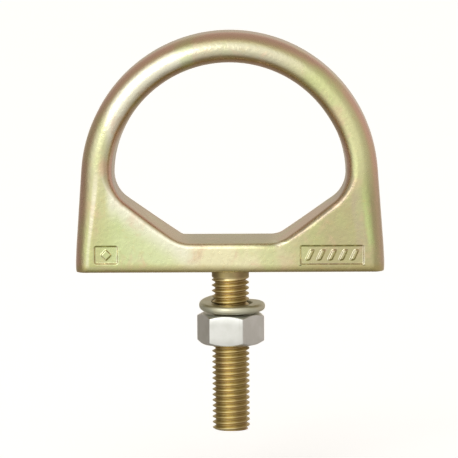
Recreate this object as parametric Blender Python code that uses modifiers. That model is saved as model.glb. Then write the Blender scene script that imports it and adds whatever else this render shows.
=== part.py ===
"""Roof anchor: a forged D-shaped eye on a threaded stud, with a spring washer and a hex nut.

Metres, +Z up. The origin is on the stud's axis, in the plane of the forging's flat underside.
X runs along the base of the D and the front faces -Y.
"""

import math

import bmesh
import bpy
from mathutils import Matrix, Vector

MM = 0.001

# forged D eye
DEPTH = 20.0
BAIL_RADIUS = 46.8
BAIL_CENTRE_Z = 28.7
BASE_HALF_WIDTH = 48.7
FLANK_ANGLE = math.radians(4.1)
FLANK_END_Z = 9.5
BELOW_BASE = 9.0
OPENING_CENTRE_Z = 29.05
OPENING_RADIUS = 36.5
FLOOR_Z = 10.3
SLOPE_ANGLE = math.radians(34.65)
SLOPE_START_X = 15.15
SLOPE_TOP_FILLET = 9.6
SLOPE_FOOT_FILLET = 7.0
OUTER_ROUND_DEPTH = 6.0
BASE_EDGE_HEIGHT = 2.4
BASE_EDGE_ROUND = 1.3
BASE_END_ROUND = 0.15
ROUND_STEPS = 6
FOOT_STEPS = 4

# shallow panels in the front face
PANEL_DEPTH = 0.45
SMALL_PANEL = (-38.9, 5.7, 7.5, 5.9)
LONG_PANEL = (32.8, 6.0, 20.4, 6.3)
PANEL_CORNER = 0.7
MARK_MIDDLE_Y = -DEPTH / 2 - 1.9 + 0.05 + PANEL_DEPTH
DIAMOND = (2.3, 4.0, 2.3)
BAR = (1.1, 4.0, 3.2)
BAR_COUNT = 5
BAR_PITCH = 3.5
BAR_SLANT = math.radians(25)

# M12 stud
PITCH = 1.75
CREST_RADIUS = 5.9
ROOT_RADIUS = 4.85
CREST_FLAT = 0.22
STUD_END_Z = -51.2
COLLAR_LENGTH = 2.3
RUNOUT = 0.9
THREAD_START = 0.06
SPIGOT_TOP_Z = 7.6
SPIGOT_GAP = 0.3
TURN_STEPS = 24

# M12 hex nut
NUT_ACROSS_FLATS = 18.7
NUT_EDGE_ROUND = 0.8
NUT_HEIGHT = 9.8
NUT_TOP_Z = -13.9
NUT_TURNED = math.radians(-7.8)
NUT_CHAMFER = math.radians(30)
HEX_START = math.radians(-30)
THREAD_PLAY = 0.16
NUT_CREST_RADIUS = 5.15
NUT_ROOT_RADIUS = 6.15

# M12 spring washer
WASHER_OUTER = 10.45
WASHER_INNER = 6.45
WASHER_OFF_CENTRE = 0.5
WASHER_THICK = 2.5
WASHER_RISE = 2.3
WASHER_LIFT = 0.45
WASHER_SPLIT = math.radians(5)
WASHER_STEPS = 56


def clear_scene():
    for item in list(bpy.data.objects):
        bpy.data.objects.remove(item, do_unlink=True)


def make_collection(name, hidden=False):
    group = bpy.data.collections.new(name)
    bpy.context.scene.collection.children.link(group)
    group.hide_render = hidden
    return group


def make_material(name, colour, metallic, roughness):
    material = bpy.data.materials.new(name)
    material.use_nodes = True
    shader = material.node_tree.nodes["Principled BSDF"]
    shader.inputs["Base Color"].default_value = (*colour, 1.0)
    shader.inputs["Metallic"].default_value = metallic
    shader.inputs["Roughness"].default_value = roughness
    return material


def object_from(build, name, group, material=None, origin=(0, 0, 0)):
    """Turn a bmesh in millimetres into an object in metres, with its origin at the given place."""
    bmesh.ops.translate(build, vec=-Vector(origin), verts=build.verts)
    bmesh.ops.scale(build, vec=(MM, MM, MM), verts=build.verts)
    mesh = bpy.data.meshes.new(name)
    build.to_mesh(mesh)
    build.free()
    item = bpy.data.objects.new(name, mesh)
    item.location = Vector(origin) * MM
    group.objects.link(item)
    if material:
        mesh.materials.append(material)
    return item


def shade(item, crease):
    """Shade a piece smooth, except across edges sharper than the crease angle in degrees."""
    item.data.shade_smooth()
    item.data.set_sharp_from_angle(angle=math.radians(crease))


def add_cutter(item, group):
    item.hide_render = True
    item.display_type = "WIRE"
    return item


def add_boolean(item, other, operation):
    modifier = item.modifiers.new(other.name, "BOOLEAN")
    modifier.object = other
    modifier.operation = operation
    modifier.solver = "EXACT"


def add_cone(build, foot_radius, top_radius, low, high, segments):
    """A capped cone, or a cylinder, about Z between two heights."""
    bmesh.ops.create_cone(
        build,
        cap_ends=True,
        segments=segments,
        radius1=foot_radius,
        radius2=top_radius,
        depth=high - low,
        matrix=Matrix.Translation((0, 0, (low + high) / 2)),
    )


def turned(name, group, profile, steps):
    """A solid turned about Z from (radius, height) points that run from its top to its foot."""
    build = bmesh.new()
    chain = [build.verts.new((radius, 0, height)) for radius, height in profile]
    for pair in zip(chain, chain[1:]):
        build.edges.new(pair)
    item = object_from(build, name, group)
    screw = item.modifiers.new("Turn", "SCREW")
    screw.steps = steps
    screw.render_steps = steps
    screw.use_merge_vertices = True
    screw.merge_threshold = 1e-6
    return item


def arc_points(centre, radius, start, end, steps):
    """Points on an arc, without the last one."""
    points = []
    for step in range(steps):
        angle = start + (end - start) * step / steps
        points.append(centre + radius * Vector((math.cos(angle), math.sin(angle))))
    return points


def line_points(start, end, steps):
    """Points on a straight line, without the last one."""
    return [start.lerp(end, step / steps) for step in range(steps)]


def mirrored(half):
    """A closed outline from its right half, which runs from the top centre to the bottom centre."""
    left = [Vector((-point.x, point.y)) for point in half[1:-1]]
    return half + left[::-1]


def outer_half():
    """Right half of the D's outer outline, carried on below the base plane."""
    centre = Vector((0, BAIL_CENTRE_Z))
    points = arc_points(centre, BAIL_RADIUS, math.pi / 2, FLANK_ANGLE, 26)
    tangent = Vector((math.cos(FLANK_ANGLE), math.sin(FLANK_ANGLE)))
    flank_top = centre + BAIL_RADIUS * tangent
    drop = flank_top.y - FLANK_END_Z
    flank_foot = Vector((flank_top.x + drop * math.tan(FLANK_ANGLE), FLANK_END_Z))
    points += line_points(flank_top, flank_foot, 5)
    reach = BASE_HALF_WIDTH - flank_foot.x
    bend_radius = reach / (1 - math.cos(FLANK_ANGLE))
    bend_centre = Vector((BASE_HALF_WIDTH - bend_radius, 0))
    bend_centre.y = FLANK_END_Z - bend_radius * math.sin(FLANK_ANGLE)
    points += arc_points(bend_centre, bend_radius, FLANK_ANGLE, 0, 4)
    corner = Vector((BASE_HALF_WIDTH - 7, -BELOW_BASE + 7))
    points += arc_points(corner, 7, 0, -math.pi / 2, 6)
    points += line_points(Vector((corner.x, -BELOW_BASE)), Vector((0, -BELOW_BASE)), 4)
    points.append(Vector((0, -BELOW_BASE)))
    return points


def opening_half():
    """Right half of the opening's outline at the back: bail, corner, slope, foot and floor."""
    centre = Vector((0, OPENING_CENTRE_Z))
    along = Vector((math.cos(SLOPE_ANGLE), math.sin(SLOPE_ANGLE)))
    inward = Vector((-along.y, along.x))
    start = Vector((SLOPE_START_X, FLOOR_Z))
    lifted = start + inward * SLOPE_TOP_FILLET - centre
    half_b = lifted.dot(along)
    rest = lifted.length_squared - (OPENING_RADIUS - SLOPE_TOP_FILLET) ** 2
    travel = -half_b + math.sqrt(half_b * half_b - rest)
    top_centre = start + along * travel + inward * SLOPE_TOP_FILLET
    away = top_centre - centre
    join_angle = math.atan2(away.y, away.x)
    points = arc_points(centre, OPENING_RADIUS, math.pi / 2, join_angle, 26)
    slope_normal = SLOPE_ANGLE - math.pi / 2
    points += arc_points(top_centre, SLOPE_TOP_FILLET, join_angle, slope_normal, 9)
    foot_tangent = SLOPE_FOOT_FILLET * math.tan(SLOPE_ANGLE / 2)
    points += line_points(start + along * travel, start + along * foot_tangent, 5)
    foot_centre = Vector((SLOPE_START_X - foot_tangent, FLOOR_Z + SLOPE_FOOT_FILLET))
    points += arc_points(foot_centre, SLOPE_FOOT_FILLET, slope_normal, -math.pi / 2, 4)
    points += line_points(Vector((foot_centre.x, FLOOR_Z)), Vector((0, FLOOR_Z)), 3)
    points.append(Vector((0, FLOOR_Z)))
    return points


def outline_normals(outline):
    """Unit normals pointing away from the inside of a clockwise outline."""
    count = len(outline)
    normals = []
    for index, point in enumerate(outline):
        before = (point - outline[index - 1]).normalized()
        after = (outline[(index + 1) % count] - point).normalized()
        tangent = (before + after).normalized()
        normals.append(Vector((-tangent.y, tangent.x)))
    return normals


def smooth_step(value, low, high):
    share = min(1.0, max(0.0, (value - low) / (high - low)))
    return share * share * (3 - 2 * share)


def outer_round(point):
    """How far the outer edge's rounding reaches into the face, at this height."""
    rising = 4.7 + 1.6 * smooth_step(point.y, 4, BAIL_CENTRE_Z)
    return rising - 0.8 * smooth_step(point.y, BAIL_CENTRE_Z, 50)


def opening_round(point):
    """How far the opening's edge rounding reaches into the face: small on floor and slopes."""
    slope = 1.7 + 0.5 * smooth_step(point.y, FLOOR_Z + 0.5, FLOOR_Z + 6)
    bail = 1.4 * smooth_step(point.y, 22, BAIL_CENTRE_Z + 4)
    return slope + bail + 0.45 * smooth_step(point.y, BAIL_CENTRE_Z, 50)


def opening_draft(point):
    """How much wider the opening is at the front than at the back."""
    return 1.15 - 0.75 * smooth_step(point.y, 24, 50)


def outer_ring(outline, normals, side, share):
    """One ring of the outer rounding. side is -1 at the front, and share runs 0 to 1."""
    turn = share * math.pi / 2
    depth = side * (DEPTH / 2 - OUTER_ROUND_DEPTH * (1 - math.sin(turn)))
    ring = []
    for point, normal in zip(outline, normals):
        inset = outer_round(point) * (1 - math.cos(turn))
        ring.append(Vector((point.x - normal.x * inset, depth, point.y - normal.y * inset)))
    return ring


def opening_ring(outline, normals, side, share):
    """One ring of the opening's rounding, with its draft."""
    turn = share * math.pi / 2
    ring = []
    for point, normal in zip(outline, normals):
        reach = opening_round(point)
        deep = reach * (1 + 0.35 * smooth_step(point.y, 22, 34))
        depth = side * (DEPTH / 2 - deep * (1 - math.sin(turn)))
        draft = opening_draft(point) * (DEPTH / 2 - depth) / DEPTH
        outset = reach * (1 - math.cos(turn)) + draft
        ring.append(Vector((point.x + normal.x * outset, depth, point.y + normal.y * outset)))
    return ring


def add_ring(build, ring):
    return [build.verts.new(point) for point in ring]


def bridge(build, first, second, flip=False):
    """Quads between two closed rings of the same length."""
    count = len(first)
    for index in range(count):
        after = (index + 1) % count
        corners = [first[index], first[after], second[after], second[index]]
        build.faces.new(corners[::-1] if flip else corners)


def ring_edges(build, ring):
    found = []
    for index, vertex in enumerate(ring):
        found.append(build.edges.get((vertex, ring[(index + 1) % len(ring)])))
    return found


def wall_of_rings(build, maker, outline, flip):
    """Front edge to back edge of one wall. It returns the first and last rings."""
    normals = outline_normals(outline)
    shares = [step / ROUND_STEPS for step in range(ROUND_STEPS + 1)]
    rings = [maker(outline, normals, -1, share) for share in reversed(shares)]
    rings += [maker(outline, normals, 1, share) for share in shares]
    made = [add_ring(build, ring) for ring in rings]
    for first, second in zip(made, made[1:]):
        bridge(build, first, second, flip)
    return made[0], made[-1]


def cut_flat(build, height):
    """Remove what is below a height and return the open edge there as an ordered ring."""
    geometry = list(build.verts) + list(build.edges) + list(build.faces)
    bmesh.ops.bisect_plane(
        build, geom=geometry, dist=1e-6, plane_co=(0, 0, height), plane_no=(0, 0, -1), clear_outer=True
    )
    return ordered_ring([edge for edge in build.edges if edge.is_boundary])


def ordered_ring(edges):
    """The vertices of a closed chain of edges, in order."""
    left = set(edges)
    first = left.pop()
    ring = [first.verts[0], first.verts[1]]
    while left:
        following = next(edge for edge in ring[-1].link_edges if edge in left)
        left.remove(following)
        ring.append(following.other_vert(ring[-1]))
    return ring[:-1]


def ring_is_clockwise(ring):
    area = 0.0
    for index, vertex in enumerate(ring):
        other = ring[(index + 1) % len(ring)]
        area += vertex.co.x * other.co.y - other.co.x * vertex.co.y
    return area < 0


def round_the_foot(build, ring):
    """Close the base with a rounding into the flat underside, small at the two ends."""
    if ring_is_clockwise(ring):
        ring = ring[::-1]
    count = len(ring)
    flat = [Vector((vertex.co.x, vertex.co.y)) for vertex in ring]
    normals = outline_normals(flat)
    last = ring
    for step in range(1, FOOT_STEPS + 1):
        turn = step / FOOT_STEPS * math.pi / 2
        height = BASE_EDGE_HEIGHT * (1 - math.sin(turn))
        new = []
        for index in range(count):
            reach = BASE_END_ROUND + (BASE_EDGE_ROUND - BASE_END_ROUND) * normals[index].y ** 4
            place = flat[index] + normals[index] * reach * (1 - math.cos(turn))
            new.append(build.verts.new((place.x, place.y, height)))
        bridge(build, new, last)
        last = new
    build.faces.new(last[::-1])


def build_forging(group, cutters, material):
    build = bmesh.new()
    outer_front, outer_back = wall_of_rings(build, outer_ring, mirrored(outer_half()), False)
    inner_front, inner_back = wall_of_rings(build, opening_ring, mirrored(opening_half()), True)
    for outside, inside in ((outer_front, inner_front), (outer_back, inner_back)):
        edges = ring_edges(build, outside) + ring_edges(build, inside)
        bmesh.ops.triangle_fill(build, edges=edges, use_beauty=True)
    bmesh.ops.recalc_face_normals(build, faces=build.faces)
    round_the_foot(build, cut_flat(build, BASE_EDGE_HEIGHT))
    bmesh.ops.recalc_face_normals(build, faces=build.faces)
    forging = object_from(build, "d_ring_forging", group, material)
    shade(forging, 50)
    for cutter in (socket_cutter(cutters), small_panel_cutter(cutters), long_panel_cutter(cutters)):
        add_boolean(forging, cutter, "DIFFERENCE")
    return forging


def socket_cutter(group):
    """The blind hole that takes the stud's head end."""
    radius = CREST_RADIUS + SPIGOT_GAP
    build = bmesh.new()
    add_cone(build, radius, radius, -2, SPIGOT_TOP_Z + 0.4, 48)
    return add_cutter(object_from(build, "cutter_socket", group), group)


def add_block(build, centre, size, turn=0):
    """A box turned about Y."""
    place = Matrix.Translation(centre) @ Matrix.Rotation(turn, 4, "Y")
    bmesh.ops.create_cube(build, size=1, matrix=place @ Matrix.Diagonal((*size, 1)))


def panel_block(name, group, panel):
    """A shallow box in the front face with rounded corners."""
    centre_x, centre_z, width, height = panel
    back = -DEPTH / 2 + PANEL_DEPTH
    front = -DEPTH / 2 - 1
    build = bmesh.new()
    add_block(build, (centre_x, (front + back) / 2, centre_z), (width, back - front, height))
    deep = [edge for edge in build.edges if abs(edge.verts[0].co.y - edge.verts[1].co.y) > 0.5]
    bmesh.ops.bevel(build, geom=deep, offset=PANEL_CORNER, segments=4, profile=0.5, affect="EDGES")
    return add_cutter(object_from(build, name, group), group)


def small_panel_cutter(group):
    """A shallow panel that leaves one raised diamond standing."""
    cutter = panel_block("cutter_small_panel", group, SMALL_PANEL)
    build = bmesh.new()
    add_block(build, (SMALL_PANEL[0], MARK_MIDDLE_Y, SMALL_PANEL[1]), DIAMOND, math.radians(45))
    add_boolean(cutter, add_cutter(object_from(build, "keep_diamond", group), group), "DIFFERENCE")
    return cutter


def long_panel_cutter(group):
    """A shallow panel that leaves a row of slanted bars standing."""
    cutter = panel_block("cutter_long_panel", group, LONG_PANEL)
    build = bmesh.new()
    for index in range(BAR_COUNT):
        centre_x = LONG_PANEL[0] + (index - (BAR_COUNT - 1) / 2) * BAR_PITCH
        add_block(build, (centre_x, MARK_MIDDLE_Y, LONG_PANEL[1]), BAR, BAR_SLANT)
    add_boolean(cutter, add_cutter(object_from(build, "keep_bars", group), group), "DIFFERENCE")
    return cutter


def thread_profile(crest, root, crest_flat):
    """(height, radius) corners over one pitch of a 60 degree thread, from the middle of a root."""
    flank = (crest - root) * math.tan(math.radians(30))
    half_crest = crest_flat / 2
    middle = PITCH / 2
    return (
        (middle - half_crest - flank, root),
        (middle - half_crest, crest),
        (middle + half_crest, crest),
        (middle + half_crest + flank, root),
    )


def fade(height, start, length):
    """1 where the thread is whole, falling to 0 over a run-out that ends at start."""
    return smooth_step(start - height, 0, length)


def threaded_column(build, profile, low, high, plain, runout_start):
    """A right-hand thread about Z between two flat ends. Above the run-out it is plain."""
    turns = math.ceil((high - low) / PITCH) + 4
    foot = (math.floor(low / PITCH) - 2 + THREAD_START) * PITCH
    corners = (*profile, (profile[0][0] + PITCH, profile[0][1]))
    chain = [build.verts.new((radius, 0, foot + height)) for height, radius in corners]
    edges = [build.edges.new(pair) for pair in zip(chain, chain[1:])]
    bmesh.ops.spin(
        build,
        geom=chain + edges,
        cent=(0, 0, 0),
        axis=(0, 0, 1),
        dvec=(0, 0, PITCH / TURN_STEPS),
        angle=2 * math.pi * turns,
        steps=TURN_STEPS * turns,
    )
    bmesh.ops.remove_doubles(build, verts=build.verts, dist=0.002)
    for vertex in build.verts:
        across = Vector((vertex.co.x, vertex.co.y, 0))
        reach = plain + (across.length - plain) * fade(vertex.co.z, runout_start, RUNOUT)
        vertex.co = across.normalized() * reach + Vector((0, 0, vertex.co.z))
    cap_flat(build, low, -1)
    return cap_flat(build, high, 1)


def cap_flat(build, height, side):
    """Cut a column square at a height, close it there and return its closing face."""
    geometry = list(build.verts) + list(build.edges) + list(build.faces)
    bmesh.ops.bisect_plane(
        build, geom=geometry, dist=1e-5, plane_co=(0, 0, height), plane_no=(0, 0, side), clear_outer=True
    )
    rim = [edge for edge in build.edges if edge.is_boundary and on_level(edge, height)]
    return bmesh.ops.edgeloop_fill(build, edges=rim)["faces"][0]


def on_level(edge, height):
    return all(abs(vertex.co.z - height) < 1e-4 for vertex in edge.verts)


def raise_end(build, end, radius, height):
    """Extrude a round end face to a height, at a new radius, and return its new end face."""
    end = bmesh.ops.extrude_discrete_faces(build, faces=[end])["faces"][0]
    for vertex in end.verts:
        across = Vector((vertex.co.x, vertex.co.y, 0)).normalized()
        vertex.co = across * radius + Vector((0, 0, height))
    return end


def build_stud(group, material):
    build = bmesh.new()
    profile = thread_profile(CREST_RADIUS, ROOT_RADIUS, CREST_FLAT)
    end = threaded_column(build, profile, STUD_END_Z, -COLLAR_LENGTH + 0.3, CREST_RADIUS, -COLLAR_LENGTH)
    end = raise_end(build, end, CREST_RADIUS, SPIGOT_TOP_Z - 0.6)
    raise_end(build, end, CREST_RADIUS - 0.6, SPIGOT_TOP_Z)
    bmesh.ops.recalc_face_normals(build, faces=build.faces)
    stud = object_from(build, "threaded_stud", group, material)
    shade(stud, 28)
    return stud


def hex_block(build):
    """A hexagonal prism with slightly rounded upright edges."""
    corner = NUT_ACROSS_FLATS / 2 / math.cos(math.pi / 6)
    add_cone(build, corner, corner, NUT_TOP_Z - NUT_HEIGHT, NUT_TOP_Z, 6)
    turn = Matrix.Rotation(NUT_TURNED + HEX_START, 3, "Z")
    bmesh.ops.rotate(build, cent=(0, 0, 0), matrix=turn, verts=build.verts)
    upright = [edge for edge in build.edges if abs(edge.verts[0].co.z - edge.verts[1].co.z) > 0.5]
    offset = NUT_EDGE_ROUND * math.tan(math.pi / 6)
    bmesh.ops.bevel(build, geom=upright, offset=offset, segments=4, profile=0.5, affect="EDGES")


def nut_envelope(group):
    """The turned shape whose cones chamfer the hexagon's corners."""
    corner = NUT_ACROSS_FLATS / 2 / math.cos(math.pi / 6)
    face = NUT_ACROSS_FLATS / 2 * 0.96
    wide = corner + 1
    drop = (wide - face) * math.tan(NUT_CHAMFER)
    low = NUT_TOP_Z - NUT_HEIGHT
    profile = [(0, NUT_TOP_Z), (face, NUT_TOP_Z), (wide, NUT_TOP_Z - drop)]
    profile += [(wide, low + drop), (face, low), (0, low)]
    return add_cutter(turned("cutter_nut_envelope", group, profile, 72), group)


def nut_thread_cutter(group):
    """The nut's threaded bore, in step with the stud's thread at rest."""
    flank_gain = (NUT_ROOT_RADIUS - CREST_RADIUS) * math.tan(math.radians(30))
    root_flat = CREST_FLAT + 2 * (THREAD_PLAY - flank_gain)
    profile = thread_profile(NUT_ROOT_RADIUS, NUT_CREST_RADIUS, root_flat)
    build = bmesh.new()
    low = NUT_TOP_Z - NUT_HEIGHT - 0.7
    threaded_column(build, profile, low, NUT_TOP_Z + 0.7, NUT_ROOT_RADIUS, 0)
    bmesh.ops.recalc_face_normals(build, faces=build.faces)
    return add_cutter(object_from(build, "cutter_nut_thread", group), group)


def countersink_cutter(group, name, side):
    """A cone that opens one end of the nut's bore."""
    level = NUT_TOP_Z if side > 0 else NUT_TOP_Z - NUT_HEIGHT
    wide = NUT_ROOT_RADIUS + 0.35
    deep = wide - NUT_CREST_RADIUS + 0.3
    build = bmesh.new()
    if side > 0:
        add_cone(build, wide - deep, wide + 0.5, level - deep, level + 0.5, 48)
    else:
        add_cone(build, wide + 0.5, wide - deep, level - 0.5, level + deep, 48)
    return add_cutter(object_from(build, name, group), group)


def build_nut(group, cutters, material):
    build = bmesh.new()
    hex_block(build)
    nut = object_from(build, "hex_nut", group, material, (0, 0, NUT_TOP_Z - NUT_HEIGHT / 2))
    shade(nut, 25)
    add_boolean(nut, nut_envelope(cutters), "INTERSECT")
    add_boolean(nut, countersink_cutter(cutters, "cutter_countersink_top", 1), "DIFFERENCE")
    add_boolean(nut, countersink_cutter(cutters, "cutter_countersink_foot", -1), "DIFFERENCE")
    add_boolean(nut, nut_thread_cutter(cutters), "DIFFERENCE")
    return nut


def washer_section():
    """(radius, height) corners of the wire: slightly crowned outside and eased edges."""
    ease = 0.3
    bulge = 0.25
    half = WASHER_THICK / 2
    return (
        (WASHER_INNER, -half + ease),
        (WASHER_INNER + ease, -half),
        (WASHER_OUTER - bulge - 0.55, -half),
        (WASHER_OUTER - bulge - 0.1, -half + 0.35),
        (WASHER_OUTER, -half * 0.3),
        (WASHER_OUTER, half * 0.3),
        (WASHER_OUTER - bulge - 0.1, half - 0.35),
        (WASHER_OUTER - bulge - 0.55, half),
        (WASHER_INNER + ease, half),
        (WASHER_INNER, half - ease),
    )


def washer_height(turn):
    """How far the wire's middle is above its lowest place, for a turn from the front."""
    rise = -WASHER_RISE / 2 * turn / math.pi + 0.159 * WASHER_RISE * math.sin(turn)
    return rise + 0.25 * WASHER_RISE * (1 - math.cos(turn))


def build_washer(group, material):
    """A split ring whose ends stand one above the other, a left-hand helix."""
    reach = math.pi - WASHER_SPLIT
    build = bmesh.new()
    corners = [build.verts.new((0, -radius, height)) for radius, height in washer_section()]
    section = build.faces.new(corners)
    bmesh.ops.rotate(build, cent=(0, 0, 0), matrix=Matrix.Rotation(-reach, 3, "Z"), verts=corners)
    bmesh.ops.spin(
        build, geom=[section], cent=(0, 0, 0), axis=(0, 0, 1), angle=2 * reach, steps=WASHER_STEPS
    )
    for vertex in build.verts:
        turn = math.atan2(vertex.co.x, -vertex.co.y)
        vertex.co.z += NUT_TOP_Z + WASHER_LIFT + WASHER_THICK / 2 + washer_height(turn)
        vertex.co.x += WASHER_OFF_CENTRE
    bmesh.ops.recalc_face_normals(build, faces=build.faces)
    origin = (WASHER_OFF_CENTRE, 0, NUT_TOP_Z + WASHER_LIFT + WASHER_THICK / 2)
    washer = object_from(build, "spring_washer", group, material, origin)
    shade(washer, 40)
    return washer


def main():
    clear_scene()
    parts = make_collection("roof_anchor")
    cutters = make_collection("cutters", hidden=True)
    yellow_zinc = make_material("yellow_zinc_satin", (0.55, 0.56, 0.32), 0.85, 0.38)
    bronze_zinc = make_material("bronze_zinc_thread", (0.42, 0.33, 0.16), 0.9, 0.32)
    pale_zinc = make_material("pale_zinc_spring", (0.55, 0.52, 0.42), 0.9, 0.35)
    bright_zinc = make_material("bright_zinc_nut", (0.78, 0.78, 0.76), 0.9, 0.34)
    root = bpy.data.objects.new("roof_anchor_root", None)
    parts.objects.link(root)
    build_forging(parts, cutters, yellow_zinc).parent = root
    build_stud(parts, bronze_zinc).parent = root
    build_washer(parts, pale_zinc).parent = root
    build_nut(parts, cutters, bright_zinc).parent = root


main()
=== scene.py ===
"""Roof anchor: fine surfaces, finishes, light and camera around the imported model.

Lengths in the shape functions are millimetres; pieces are made in metres. The origin is on the
stud's axis in the plane of the forging's underside, with +Z up and the front facing -Y.
"""

import math

import bmesh
import bpy
import numpy as np
from mathutils import Matrix, Vector


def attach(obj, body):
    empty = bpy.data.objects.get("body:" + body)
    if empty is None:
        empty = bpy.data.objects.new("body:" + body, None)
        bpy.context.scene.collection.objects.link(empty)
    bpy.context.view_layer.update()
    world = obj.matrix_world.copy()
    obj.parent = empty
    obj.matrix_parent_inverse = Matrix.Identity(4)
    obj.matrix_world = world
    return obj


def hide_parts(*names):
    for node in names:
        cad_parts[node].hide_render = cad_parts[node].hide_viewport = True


MM = 0.001
# lengths taken as nothing: between points that are one, when a plane cuts, and in an overlap
TOUCH = 1e-4
CUT_SNAP = 1e-5
HAIR = 1e-3

# forged D eye
DEPTH = 20.0
BAIL_RADIUS = 46.8
BAIL_CENTRE_Z = 28.7
BASE_HALF_WIDTH = 48.7
FLANK_ANGLE = math.radians(4.1)
FLANK_END_Z = 9.5
OPENING_CENTRE_Z = 29.05
OPENING_RADIUS = 36.5
FLOOR_Z = 10.3
SLOPE_ANGLE = math.radians(34.65)
SLOPE_START_X = 15.15
SLOPE_TOP_FILLET = 9.6
FRONT_FOOT_FILLET = 10.0
BACK_LEFT_FOOT_FILLET = 2.0
BACK_RIGHT_FOOT_FILLET = 7.0
BASE_EDGE_HEIGHT = 2.4
BASE_EDGE_ROUND = 1.3
BASE_END_ROUND = 0.15
# the power of a normal's depth that keeps the small rounding to the base's two ends
BASE_END_POWER = 4
# a point on a slope has |x| * sine - z * cosine of the slope's angle equal to this
SLOPE_REACH = SLOPE_START_X * math.sin(SLOPE_ANGLE) - FLOOR_Z * math.cos(SLOPE_ANGLE)

# the outline goes on below the base, where it is cut off
BELOW_BASE = 9.0
BELOW_CORNER = 7.0

# points along the outer outline's bail, flank, bend, side, corner and underside
OUTER_COUNTS = (240, 60, 24, 8, 16, 60)
# points along the opening's bail, corner, slope, foot and floor
OPENING_COUNTS = (260, 60, 60, 30, 30)
# where the outlines' stations change their spacing: at the first point below a height, inside a width
OUTER_KNOTS = ((BAIL_CENTRE_Z + 3, math.inf), (16, math.inf), (-5, math.inf), (-8.9, 20))
OPENING_KNOTS = ((BAIL_CENTRE_Z + 2, math.inf), (21.5, math.inf), (17, 30), (15, 14))
STATION_COUNTS = (110, 26, 46, 40, 34)

# edge roundings, how far they reach along the face and how deep they go.
# A value that varies is its start, then changes of (from height, to height, amount).
OUTER_ROUND = (4.7, (4, BAIL_CENTRE_Z, 1.6), (BAIL_CENTRE_Z, 50, -0.8))
OUTER_ROUND_DEPTH = 6.0
OPENING_ROUND = (
    1.7,
    (FLOOR_Z + 0.5, FLOOR_Z + 6, 0.5),
    (22, BAIL_CENTRE_Z + 4, 1.4),
    (BAIL_CENTRE_Z, 50, 0.45),
)
OPENING_ROUND_DEPTH = (1.0, (22, 34, 0.35))
# how much wider the opening is in front than behind, least where a slope bends into the bail
OPENING_DRAFT = (1.15, (12, 26, -0.95), (26, 36, 0.65), (36, 50, -0.45))
LEAST_FLAT = 0.25
ROUND_STEPS = 12
FOOT_STEPS = 8
FACE_ROWS = 14

# shallow panels in the front face: centre x, centre z, width, height
SMALL_PANEL = (-38.9, 5.7, 7.5, 5.9)
LONG_PANEL = (32.2, 5.5, 20.2, 6.2)
PANEL_DEPTH = 0.55
PANEL_CORNER = 0.7
PANEL_WALL = (-0.48, 0.12)
PANEL_MARGIN = 0.25
PANEL_SEAM = 0.05
PANEL_STEP = 0.11

# raised marks in the panels: half sizes, then corner radius
DIAMOND = (1.15, 1.15, 0.3)
BAR = (0.6, 1.55, 0.35)
BAR_COUNT = 5
BAR_PITCH = 3.5
BAR_LEAN = math.radians(25)
MARK_WALL = (-0.25, 0.3)

# M12 thread and stud. THREAD_LEVELS are shares of a pitch, close together at the crest.
PITCH = 1.75
CREST_RADIUS = 5.9
ROOT_RADIUS = 4.85
CREST_FLAT = 0.2
FLANK_LEAN = math.radians(30)
THREAD_START = 0.06
THREAD_SOFTNESS = 0.05
THREAD_LEVELS = np.array([0, 0.1, 0.2, 0.3, 0.38, 0.44, 0.5, 0.56, 0.62, 0.7, 0.8, 0.9])
TURN_STEPS = 72
SPARE_TURNS = 3
STUD_END_Z = -51.2
STUD_END_RADIUS = 5.3
# the least radius of the column below its end, where it is cut off
STUD_CUT_RADIUS = 4.9
COLLAR_LENGTH = 2.3
COLLAR_CUT = 0.3
RUNOUT = 0.9
SPIGOT_TOP_Z = 7.6
SPIGOT_CHAMFER = 0.6
SPIGOT_GAP = 0.3
SOCKET_ROOM = 0.4
SOCKET_STEPS = 64

# M12 nut
NUT_FLAT = 9.35
NUT_EDGE_ROUND = 0.5
NUT_HEIGHT = 9.8
NUT_TOP_Z = -13.9
NUT_TURNED = math.radians(-7.8)
NUT_CHAMFER = math.radians(30)
NUT_FACE_RADIUS = NUT_FLAT * 0.955
NUT_CREST_RADIUS = 5.15
NUT_ROOT_RADIUS = 6.15
NUT_CREST_FLAT = 0.42
NUT_BORE_CHAMFER = 0.34
NUT_BORE_LEVELS = 120
NUT_BORE_INSET = 0.02
NUT_SIDE_SHARES = (0.3, 0.5, 0.7)
HALF_FACE = math.pi / 6
# half the angle that a flat takes up, up to the rounding of its upright edges
NUT_FLAT_ANGLE = math.atan((NUT_FLAT - NUT_EDGE_ROUND) * math.tan(HALF_FACE) / NUT_FLAT)
NUT_FLAT_POINTS = 20
NUT_EDGE_POINTS = 7

# M12 spring washer
WASHER_OUTER = 10.45
WASHER_INNER = 6.45
WASHER_MIDDLE = (WASHER_INNER + WASHER_OUTER) / 2
WASHER_OFF_CENTRE = 0.5
WASHER_THICK = 2.5
WASHER_OUTER_ROUND = (1.05, 1.1)
WASHER_INNER_ROUND = (0.42, 0.525)
WASHER_CORNER_STEPS = 6
WASHER_RISE = 2.3
# shares of the rise: to level the wire in front, and to tip the ring up towards the split
WASHER_LEVEL = 0.159
WASHER_TIP = 0.25
WASHER_LIFT = 0.45
WASHER_SPLIT = math.radians(5)
WASHER_STEPS = 170
# the wire's ends: turns in radians at which a section stands, and how much it shrinks
WASHER_END_TURNS = np.array([0, 0.004, 0.011, 0.02])
WASHER_END_EASE = (-0.012, 0.02)
WASHER_END_SHRINK = 0.09

# floor: under the nut at the end of its travel, and half its side in metres
GROUND_Z = -68.2
GROUND_HALF = 6

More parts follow.
